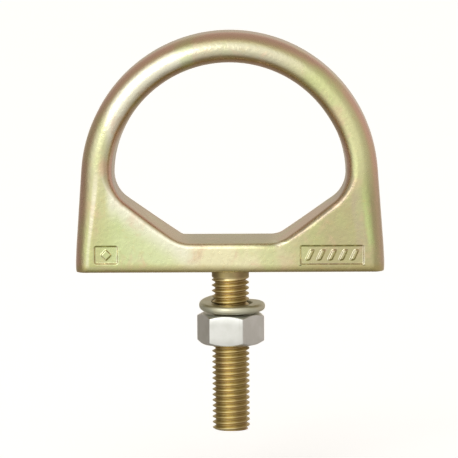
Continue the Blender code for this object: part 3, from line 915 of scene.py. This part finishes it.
class ForgedSkin(Finish):
    """Iridescent yellow passivate on the forging, and masks for where its colour changes and where highlights
    and shade are painted into it.
    """

    def __init__(self):
        super().__init__("yellow_zinc_forging", 0.96)
        self.coat(weight=1.0, roughness=0.25, ior=1.9)
        self.across, deep, self.up = self.normal()
        self.turned = self.math("SUBTRACT", 1.0, self.math("ABSOLUTE", deep))
        self.cloud = self.math("SUBTRACT", self.noise(45, 2.5, 0.55, distortion=0.4), 0.5)
        self.x, _, self.z = self.split(self.coords)
        self.wide = self.math("ABSOLUTE", self.x)
        self.side = self.clouded(self.x, 0.02)
        self.low = self.past(self.z, 36, 24)

    def clouded(self, value, amount):
        return self.plus_share(value, amount, self.cloud)

    def faces_front(self, none, full):
        """1 where the surface is turned away from the front by no more than a share."""
        return self.remap(self.turned, none, full)

    def edge_masks(self):
        """A painted highlight along the left edges where they start to turn, and painted shade on the rim
        beside the right slope.
        """
        # painted highlight where the front face starts to turn, at the left and low down
        edge_highlight = self.product(
            self.remap(self.turned, 0.0015, 0.012),
            self.faces_front(0.085, 0.03),
            self.low,
            self.past(self.x, 12, -4),
        )
        # painted shade that dims the rim's highlight beside the right slope
        rim = self.product(
            self.remap(self.turned, 0.002, 0.02),
            self.faces_front(0.34, 0.20),
            self.remap(self.up, 0.02, 0.09),
            self.past(self.x, 42, 39),
            self.past(self.x, 6, 14),
            self.low,
        )
        return {"painted_edge_highlight": edge_highlight, "shaded_rim": rim}

    def bail_masks(self):
        """Painted shade under the bail and reddish on faces that turn down; painted highlights on the bail,
        paler at its left and top, greener at its right.
        """
        above = self.math("SUBTRACT", self.z, BAIL_CENTRE_Z * MM)
        outward = self.plus_share(self.math("MULTIPLY", self.across, self.x), self.up, above)
        outward = self.math("DIVIDE", outward, self.length(self.x, above))
        bail = self.product(self.faces_front(0.4, 0.1), self.past(self.z, 20, 40))
        return {
            # painted shade on the bail's inner side, facing the opening
            "shade_under_bail": self.product(self.remap(outward, -0.05, -0.6), self.past(self.z, 36, 48)),
            # painted shade on every face that turns down
            "shade_facing_down": self.remap(self.up, -0.55, -0.9),
            # painted highlight on the front of the bail's left
            "highlight_bail_left": self.product(bail, self.past(self.side, 0, -30)),
            # painted highlight along the bail's top where it faces front
            "highlight_bail_top": self.product(self.past(self.z, 58, 68), self.faces_front(0.20, 0.04)),
            # painted highlight, greener, on the front of the bail's right
            "green_highlight_bail_right": self.product(bail, self.past(self.side, 12, 34)),
        }

    def base_masks(self):
        """A painted highlight in the middle of the base, greener film lightened with painted light at the
        left, painted shade at the right and darker towards the foot.
        """
        lift = self.math("MULTIPLY", self.math("SUBTRACT", self.z, 0.005), 2.2)
        # greener film at the lower left of the front, lightened there as painted light
        left = self.product(
            self.past(self.side, -10, -24), self.past(self.x, -44, -34), self.low, self.faces_front(0.14, 0.0)
        )
        return {
            # a pool of painted highlight round the middle of the base
            "highlight_middle": self.past(self.clouded(self.length(self.x, lift), 0.012), 36, 6),
            # painted shade on the right, below the bail
            "shaded_right": self.product(self.past(self.side, 4, 38), self.past(self.z, 34, 22)),
            "green_and_lit_left": left,
            # painted shade, darker towards the base's bottom edge
            "foot": self.past(self.clouded(self.z, 0.003), 3.4, 1.0),
        }

    def opening_masks(self):
        """Painted shade and light on the opening's wall: darker round the bends, on the left slope and on the
        floor, lighter and rosier on the right slope; a painted highlight below the left slope.
        """
        wall = self.product(
            self.remap(self.turned, 0.66, 0.86), self.past(self.z, 46, 36), self.past(self.wide, 41, 39.5)
        )
        slope = self.product(wall, self.past(self.wide, 11, 17))
        # a painted highlight on the face below the left slope
        along = self.math("MULTIPLY", self.wide, math.sin(SLOPE_ANGLE))
        along = self.plus_share(along, -math.cos(SLOPE_ANGLE), self.z)
        slope_highlight = self.product(
            self.past(along, SLOPE_REACH + 8.5, SLOPE_REACH + 2.0),
            self.past(self.x, -8, -16),
            self.faces_front(0.30, 0.10),
            self.past(self.wide, 39.5, 37),
        )
        return {
            # painted shade on the left slope's wall
            "shaded_left_slope": self.product(slope, self.past(self.x, 1, -1)),
            # painted light on the right slope's wall
            "lit_right_slope": self.product(slope, self.past(self.x, -1, 1)),
            # painted shade on the floor's wall
            "shaded_level_floor": self.product(wall, self.past(self.wide, 17, 11)),
            # painted shade round the bends
            "bend": self.product(wall, self.past(self.z, 18, 26)),
            "slope_highlight": slope_highlight,
        }

    def panel_masks(self):
        """Panel walls: painted shade, dark olive, under the top edge; a painted highlight where they face
        left.
        """
        panels = self.product(
            self.past(self.z, 2.0, 2.4), self.past(self.z, 9.8, 9.4), self.past(self.wide, 44.0, 43.2)
        )
        return {
            # painted shade under the top edge of each panel
            "shade_panel_roof": self.product(self.remap(self.up, -0.05, -0.22), panels),
            # painted highlight on the panel walls that face left
            "highlight_panel_side": self.product(self.remap(self.across, -0.05, -0.22), panels),
        }

    def streak_masks(self):
        """Two upright streaks on the right leg: mauve, then green beside the edge."""
        leg = self.product(
            self.past(self.z, 3, 12), self.past(self.z, 30, 20), self.faces_front(0.30, 0.12)
        )
        lean = self.clouded(self.plus_share(self.x, 0.14, self.z), 0.004)
        masks = {}
        for name, streak_x, reach in (("mauve_streak", 43.4, 2.6), ("green_streak", 46.2, 1.6)):
            away = self.math("ABSOLUTE", self.math("SUBTRACT", lean, streak_x * MM))
            masks[name] = self.product(self.past(away, reach, reach / 4), leg)
        return masks

    def blotch_masks(self):
        """Interference blotches, and one rosy spot on the left flank."""
        green = self.noise(110, 2.0, vector=self.stretched((1, 1, 0.5)))
        spot_x = self.math("MULTIPLY", self.math("ADD", self.x, 0.0395), 1.7)
        spot = self.length(spot_x, self.math("SUBTRACT", self.z, 0.0335))
        return {
            "rosy_blotch": self.remap(self.noise(150, 3.0, 0.6, distortion=0.5), 0.53, 0.72),
            "green_blotch": self.remap(green, 0.5, 0.7),
            "amber_blotch": self.remap(self.noise(420, 3.0, 0.6), 0.55, 0.75),
            "rosy_spot": self.past(self.clouded(spot, 0.004), 4.2, 1.0),
        }

    def masks(self):
        return {
            **self.edge_masks(),
            **self.bail_masks(),
            **self.base_masks(),
            **self.opening_masks(),
            **self.panel_masks(),
            **self.streak_masks(),
            **self.blotch_masks(),
        }


def yellow_zinc():
    """The forged skin: greener on faces, rosy where it turns away as a painted sheen, with tints laid over
    that, many of them painted highlights and painted shade.
    """
    finish = ForgedSkin()
    masks = finish.masks()
    # the ramp paints the film's sheen by the face's turn: rosier and browner away from the front
    tint = finish.ramp(finish.clouded(finish.turned, 0.16), FILM_AND_SHEEN_COLOURS)
    for name, (weight, colour) in SKIN_TINTS.items():
        tint = finish.tinted(tint, masks[name], weight, colour)
    rough = finish.plus_share(0.22, 0.13, finish.noise(700, 3.0, 0.6))
    finish.bump(finish.noise(120, 2.0, 0.45), 0.00010)
    finish.bump(finish.noise(850, 2.0), 0.00009)
    finish.bump(finish.noise(2600, 2.0, 0.6), 0.000013)
    return finish.done(tint, rough)


def bronze_zinc():
    """Brassy passivate on a machined thread, with painted shade down in the roots, towards the stud's left
    and right sides and just under the forging.
    """
    finish = Finish("bronze_zinc_thread", 0.95)
    x, y, z = finish.split(finish.coords)
    crest = finish.past(finish.length(x, y), ROOT_RADIUS, CREST_RADIUS)
    # the brass colour darkens to painted shade down in the roots
    brass_and_root_shade = ((0.0, (0.40, 0.27, 0.11)), (0.22, (1.0, 0.88, 0.48)), (1.0, (1.0, 0.86, 0.48)))
    # painted shade towards the stud's left and right sides, leaving a painted highlight down the middle
    side_shade = finish.math("ABSOLUTE", finish.math("ADD", x, 0.0004))
    tint = finish.mix(
        finish.remap(side_shade, 0.0003, 0.0034, 0.0, 0.62), finish.ramp(crest, brass_and_root_shade), (0.36, 0.26, 0.12)
    )
    # painted shade on the stud just under the forging
    tint = finish.tinted(tint, finish.past(z, -3.0, -1.8), 0.85, (0.24, 0.18, 0.08))
    cloud = finish.remap(finish.noise(160, 3.0, 0.6), 0.35, 0.7)
    tint = finish.tinted(tint, cloud, 0.35, (0.52, 0.45, 0.17))
    rosy = finish.remap(finish.noise(90, 2.0, distortion=0.6), 0.52, 0.75)
    tint = finish.tinted(tint, rosy, 0.3, (0.66, 0.43, 0.28))
    rough = finish.plus_share(0.27, 0.12, finish.noise(900, 2.0))
    turning = finish.noise(1.0, 2.0, 0.6, vector=finish.stretched((300, 300, 5200)))
    finish.bump(turning, 0.000006)
    finish.bump(finish.noise(1500, 2.0), 0.000012)
    return finish.done(tint, rough)


def pale_zinc():
    """Silvery olive spring steel, with lines drawn round the wire."""
    finish = Finish("pale_zinc_spring", 0.95)
    cloud = finish.remap(finish.noise(140, 3.0, 0.6, distortion=0.4), 0.3, 0.7)
    tint = finish.mix(cloud, (0.64, 0.66, 0.54), (0.62, 0.59, 0.44))
    green = finish.remap(finish.noise(230, 2.0), 0.5, 0.75)
    tint = finish.tinted(tint, green, 0.3, (0.55, 0.58, 0.42))
    rough = finish.plus_share(0.3, 0.12, finish.noise(800, 2.0))
    drawn = finish.noise(1.0, 2.0, 0.6, vector=finish.stretched((500, 500, 4200)))
    finish.bump(drawn, 0.000008)
    finish.bump(finish.noise(1300, 2.0), 0.00001)
    return finish.done(tint, rough)


def bright_zinc():
    """Bright plate on machined flats, with faint upright streaks."""
    finish = Finish("bright_zinc_nut", 0.96)
    streak = finish.noise(1.0, 3.0, 0.6, vector=finish.stretched((900, 900, 90)))
    cloud = finish.remap(finish.noise(260, 2.0), 0.35, 0.7)
    tint = finish.mix(cloud, (0.74, 0.75, 0.74), (0.68, 0.69, 0.67))
    tint = finish.tinted(tint, finish.remap(streak, 0.52, 0.78), 0.3, (0.56, 0.56, 0.53))
    rough = finish.plus_share(0.28, 0.14, streak)
    finish.bump(streak, 0.00001)
    finish.bump(finish.noise(1100, 2.0), 0.00001)
    return finish.done(tint, rough)


def pale_floor():
    finish = Finish("pale_floor", 0.0, 0.0)
    tint = finish.mix(finish.noise(12, 2.0), (0.90, 0.915, 0.94), (0.92, 0.935, 0.96))
    finish.shader.inputs["Emission Color"].default_value = (0.97, 0.985, 1.0, 1)
    finish.shader.inputs["Emission Strength"].default_value = 0.45
    return finish.done(tint, 1.0)


# ---------------------------------------------------------------- floor, light, camera


def make_floor():
    build = bmesh.new()
    bmesh.ops.create_grid(build, x_segments=8, y_segments=8, size=GROUND_HALF)
    mesh = bpy.data.meshes.new("studio_floor")
    build.to_mesh(mesh)
    build.free()
    mesh.materials.append(pale_floor())
    floor = bpy.data.objects.new("studio_floor", mesh)
    floor.location.z = GROUND_Z * MM
    floor.visible_glossy = False
    bpy.context.scene.collection.objects.link(floor)


def make_world():
    """Soft room light in broad lobes, and white paper behind the object for the camera."""
    world = bpy.data.worlds.new("studio")
    bpy.context.scene.world = world
    world.use_nodes = True
    nodes = Nodes(world.node_tree)
    nodes.tree.nodes.clear()
    direction = nodes.add("ShaderNodeTexCoord").outputs["Generated"]
    total = BELOW_LIGHT
    for axis, wide, tight, colour in LIGHT_LOBES:
        dot = nodes.add("ShaderNodeVectorMath", operation="DOT_PRODUCT")
        nodes.put(dot.inputs[0], direction)
        nodes.put(dot.inputs[1], Vector(axis).normalized())
        limits = (math.cos(math.radians(angle)) for angle in (wide, tight))
        total = nodes.mix(nodes.remap(dot.outputs["Value"], *limits), total, colour, blend="ADD")
    room = nodes.add("ShaderNodeBackground")
    nodes.put(room.inputs["Color"], total)
    paper = nodes.add("ShaderNodeBackground")
    nodes.put(paper.inputs["Color"], (1.0, 1.0, 1.0, 1.0))
    nodes.put(paper.inputs["Strength"], PAPER_STRENGTH)
    choose = nodes.add("ShaderNodeMixShader")
    nodes.put(choose.inputs[0], nodes.add("ShaderNodeLightPath").outputs["Is Camera Ray"])
    nodes.put(choose.inputs[1], room.outputs[0])
    nodes.put(choose.inputs[2], paper.outputs[0])
    nodes.put(nodes.add("ShaderNodeOutputWorld").inputs["Surface"], choose.outputs[0])


def make_key_light():
    light = bpy.data.lights.new("key_front_left", "AREA")
    light.shape = "RECTANGLE"
    light.size = light.size_y = KEY_SIZE
    light.energy = KEY_POWER
    lamp = bpy.data.objects.new("key_front_left", light)
    lamp.location = KEY_PLACE
    lamp.rotation_euler = (KEY_TARGET - KEY_PLACE).to_track_quat("-Z", "Y").to_euler()
    lamp.visible_camera = False
    bpy.context.scene.collection.objects.link(lamp)


def make_camera():
    """The view of the photograph: nearly square on, from a little above."""
    flat = math.cos(CAMERA_ELEVATION)
    view = Vector(
        (-math.sin(CAMERA_AZIMUTH) * flat, math.cos(CAMERA_AZIMUTH) * flat, -math.sin(CAMERA_ELEVATION))
    )
    level = Vector((math.cos(CAMERA_AZIMUTH), math.sin(CAMERA_AZIMUTH), 0))
    lift = level.cross(view)
    right = level * math.cos(CAMERA_ROLL) + lift * math.sin(CAMERA_ROLL)
    up = lift * math.cos(CAMERA_ROLL) - level * math.sin(CAMERA_ROLL)
    place = right * AIM_RIGHT + up * AIM_UP - view * CAMERA_DISTANCE
    data = bpy.data.cameras.new("photo_view")
    data.sensor_width = SENSOR
    data.lens = SENSOR * CAMERA_DISTANCE / VIEW_WIDTH
    data.clip_start, data.clip_end = 0.05, 50
    camera = bpy.data.objects.new("photo_view", data)
    axes = Matrix((right, up, -view)).transposed().to_4x4()
    camera.matrix_world = Matrix.Translation(place) @ axes
    bpy.context.scene.collection.objects.link(camera)
    bpy.context.scene.camera = camera


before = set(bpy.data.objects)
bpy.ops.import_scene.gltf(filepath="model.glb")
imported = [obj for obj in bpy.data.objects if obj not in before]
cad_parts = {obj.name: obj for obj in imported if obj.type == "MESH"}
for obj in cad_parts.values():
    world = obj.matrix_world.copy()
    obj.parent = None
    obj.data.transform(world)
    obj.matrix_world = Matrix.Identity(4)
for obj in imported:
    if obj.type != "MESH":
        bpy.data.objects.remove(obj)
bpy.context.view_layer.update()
build_forging(yellow_zinc())
build_stud(bronze_zinc())
build_washer(pale_zinc())
build_nut(bright_zinc())
make_floor()
make_world()
make_key_light()
make_camera()
bpy.context.scene.view_settings.view_transform = "Standard"
